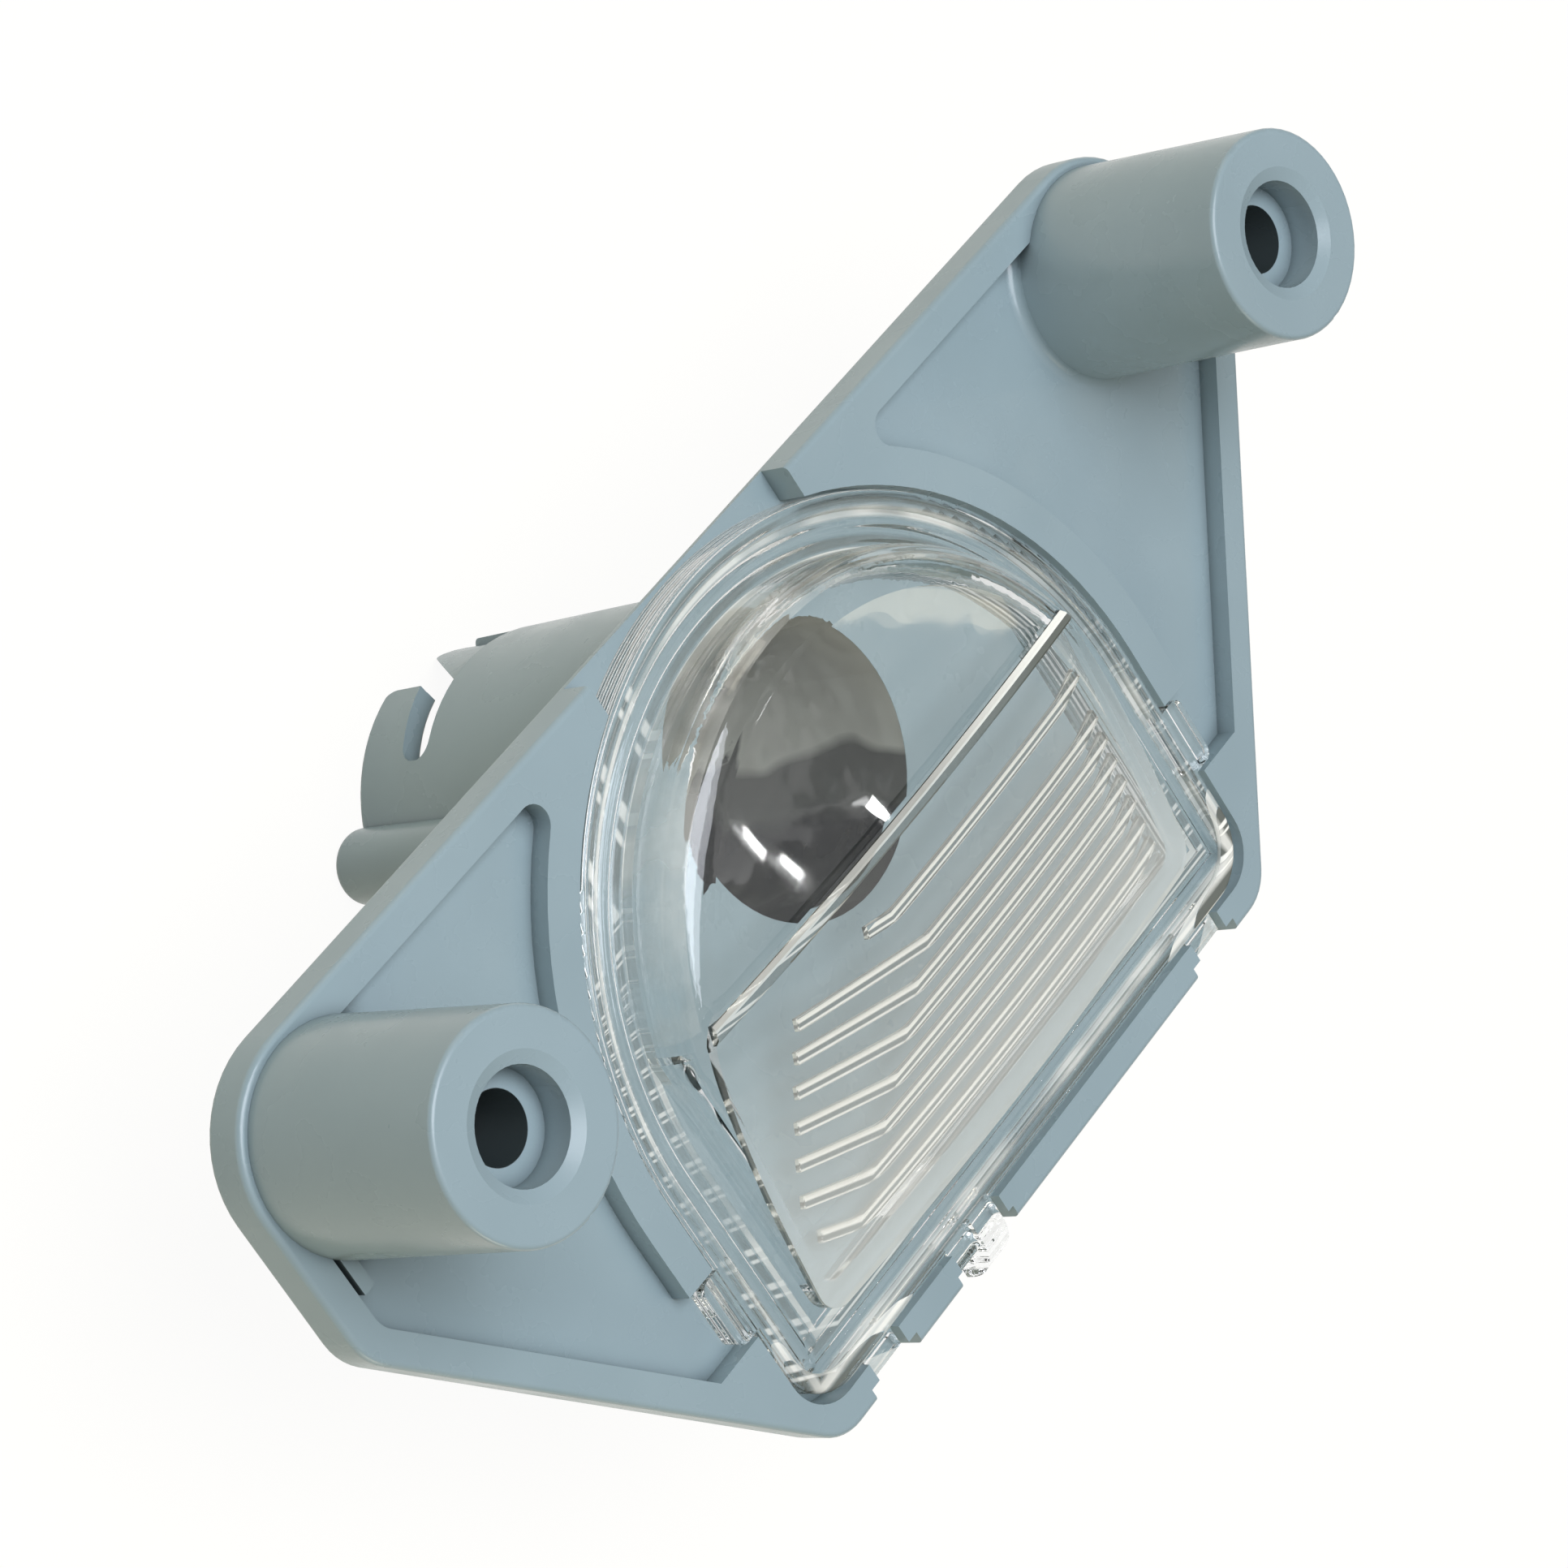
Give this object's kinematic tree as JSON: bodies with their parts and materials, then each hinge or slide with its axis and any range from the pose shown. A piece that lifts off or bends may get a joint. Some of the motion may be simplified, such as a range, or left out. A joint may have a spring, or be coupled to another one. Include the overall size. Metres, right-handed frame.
{
  "type": "number plate lamp",
  "caption": "Number plate lamp: grey moulded flange with long screw bosses, a clear fluted lens and a twist-lock collar for a bulb holder.",
  "frame": {"origin": "midway between the two screw holes, in the plane of the plate's back", "axes": "+X along the row of screws, +Z out of the lens side along the screws, +Y towards the long straight edge of the plate; the bulb collar reaches back towards -Z"},
  "size_m": [0.0966, 0.0473, 0.0451],
  "materials": {
    "grey_plastic": "light blue-grey moulding, semi-gloss",
    "clear_plastic": "clear polished acrylic"
  },
  "bodies": {
    "root": {"housing": "grey_plastic", "lens": "clear_plastic"}
  },
  "joints": []
}
